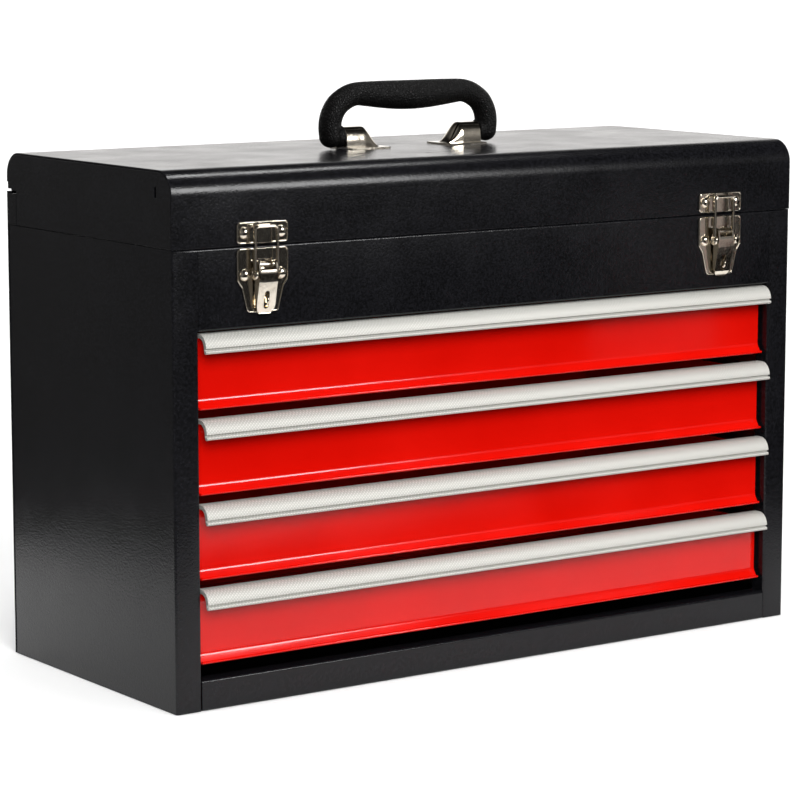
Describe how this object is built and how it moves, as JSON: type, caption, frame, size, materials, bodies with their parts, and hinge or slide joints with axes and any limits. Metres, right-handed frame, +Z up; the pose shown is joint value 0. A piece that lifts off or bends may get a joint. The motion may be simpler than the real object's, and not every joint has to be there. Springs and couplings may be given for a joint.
{
  "type": "tool chest",
  "caption": "Portable steel tool chest: a lift-up lid over an open till, wide shallow drawers on ball slides, two over-centre latches and a folding carrying handle.",
  "frame": {"origin": "middle of the underside, on the surface that the chest stands on", "axes": "+X to the right along the width, -Y towards the drawer fronts, +Z up"},
  "size_m": [0.52, 0.2268, 0.3963],
  "materials": {
    "black_paint": "fine-textured semi-gloss black powder coat on folded steel",
    "red_paint": "glossy red paint on folded steel",
    "pull_aluminium": "rolled aluminium with a fine diagonal hatch",
    "nickel": "bright nickel plate on pressed steel and wire",
    "zinc_steel": "zinc-plated steel",
    "grip_vinyl": "moulded black plastic with a leather grain"
  },
  "bodies": {
    "cabinet": {"side_panel_left": "black_paint", "side_panel_right": "black_paint", "back_panel": "black_paint", "bottom_panel": "black_paint", "front_fascia": "black_paint", "till_floor": "black_paint", "slide_carrier_left": "zinc_steel", "slide_carrier_right": "zinc_steel", "latch_base_left": "nickel", "latch_base_right": "nickel", "latch_pin_left": "nickel", "latch_pin_right": "nickel", "hinge_leaf_cabinet": "black_paint", "hinge_pin": "zinc_steel", "slide_outer_1_left": "zinc_steel", "slide_outer_1_right": "zinc_steel", "slide_outer_2_left": "zinc_steel", "slide_outer_2_right": "zinc_steel", "slide_outer_3_left": "zinc_steel", "slide_outer_3_right": "zinc_steel", "slide_outer_4_left": "zinc_steel", "slide_outer_4_right": "zinc_steel"},
    "lid": {"lid_skin": "black_paint", "lid_end_left": "black_paint", "lid_end_right": "black_paint", "handle_bracket_left": "nickel", "handle_bracket_right": "nickel", "hinge_leaf_lid": "black_paint", "latch_keeper_left": "nickel", "latch_keeper_right": "nickel"},
    "handle": {"handle_grip": "grip_vinyl"},
    "lever_left": {"latch_lever_left": "nickel"},
    "bail_left": {"latch_bail_left": "nickel"},
    "lever_right": {"latch_lever_right": "nickel"},
    "bail_right": {"latch_bail_right": "nickel"},
    "drawer_1": {"drawer_tray_1": "red_paint", "drawer_pull_1": "pull_aluminium", "slide_inner_1_left": "zinc_steel", "slide_inner_1_right": "zinc_steel"},
    "cage_1": {"ball_cage_1_left": "zinc_steel", "ball_cage_1_right": "zinc_steel"},
    "drawer_2": {"drawer_tray_2": "red_paint", "drawer_pull_2": "pull_aluminium", "slide_inner_2_left": "zinc_steel", "slide_inner_2_right": "zinc_steel"},
    "cage_2": {"ball_cage_2_left": "zinc_steel", "ball_cage_2_right": "zinc_steel"},
    "drawer_3": {"drawer_tray_3": "red_paint", "drawer_pull_3": "pull_aluminium", "slide_inner_3_left": "zinc_steel", "slide_inner_3_right": "zinc_steel"},
    "cage_3": {"ball_cage_3_left": "zinc_steel", "ball_cage_3_right": "zinc_steel"},
    "drawer_4": {"drawer_tray_4": "red_paint", "drawer_pull_4": "pull_aluminium", "slide_inner_4_left": "zinc_steel", "slide_inner_4_right": "zinc_steel"},
    "cage_4": {"ball_cage_4_left": "zinc_steel", "ball_cage_4_right": "zinc_steel"}
  },
  "joints": [
    {"name": "lid_hinge", "type": "hinge", "parent": "cabinet", "child": "lid", "pos_m": [0, 0.106, 0.327], "axis": [-1, 0, 0], "range_deg": [0, 95]},
    {"name": "handle_swing", "type": "hinge", "parent": "lid", "child": "handle", "pos_m": [0, 0, 0.359], "axis": [1, 0, 0], "range_deg": [-80, 80]},
    {"name": "latch_left", "type": "hinge", "parent": "cabinet", "child": "lever_left", "pos_m": [-0.193, -0.1138, 0.288], "axis": [-1, 0, 0], "range_deg": [0, 125]},
    {"name": "bail_left", "type": "hinge", "parent": "lever_left", "child": "bail_left", "pos_m": [-0.193, -0.1145, 0.282], "axis": [-1, 0, 0], "range_deg": [-137.5, 0]},
    {"name": "latch_right", "type": "hinge", "parent": "cabinet", "child": "lever_right", "pos_m": [0.193, -0.1138, 0.288], "axis": [-1, 0, 0], "range_deg": [0, 125]},
    {"name": "bail_right", "type": "hinge", "parent": "lever_right", "child": "bail_right", "pos_m": [0.193, -0.1145, 0.282], "axis": [-1, 0, 0], "range_deg": [-137.5, 0]},
    {"name": "drawer_1", "type": "slide", "parent": "cabinet", "child": "drawer_1", "axis": [0, -1, 0], "range_m": [0, 0.145]},
    {"name": "cage_1", "type": "slide", "parent": "cabinet", "child": "cage_1", "axis": [0, -1, 0], "range_m": [0, 0.0725]},
    {"name": "drawer_2", "type": "slide", "parent": "cabinet", "child": "drawer_2", "axis": [0, -1, 0], "range_m": [0, 0.145]},
    {"name": "cage_2", "type": "slide", "parent": "cabinet", "child": "cage_2", "axis": [0, -1, 0], "range_m": [0, 0.0725]},
    {"name": "drawer_3", "type": "slide", "parent": "cabinet", "child": "drawer_3", "axis": [0, -1, 0], "range_m": [0, 0.145]},
    {"name": "cage_3", "type": "slide", "parent": "cabinet", "child": "cage_3", "axis": [0, -1, 0], "range_m": [0, 0.0725]},
    {"name": "drawer_4", "type": "slide", "parent": "cabinet", "child": "drawer_4", "axis": [0, -1, 0], "range_m": [0, 0.145]},
    {"name": "cage_4", "type": "slide", "parent": "cabinet", "child": "cage_4", "axis": [0, -1, 0], "range_m": [0, 0.0725]}
  ],
  "couplings": [
    {"joint": "bail_left", "follows": "latch_left", "ratio": -1.1},
    {"joint": "bail_right", "follows": "latch_right", "ratio": -1.1},
    {"joint": "cage_1", "follows": "drawer_1", "ratio": 0.5},
    {"joint": "cage_2", "follows": "drawer_2", "ratio": 0.5},
    {"joint": "cage_3", "follows": "drawer_3", "ratio": 0.5},
    {"joint": "cage_4", "follows": "drawer_4", "ratio": 0.5}
  ]
}
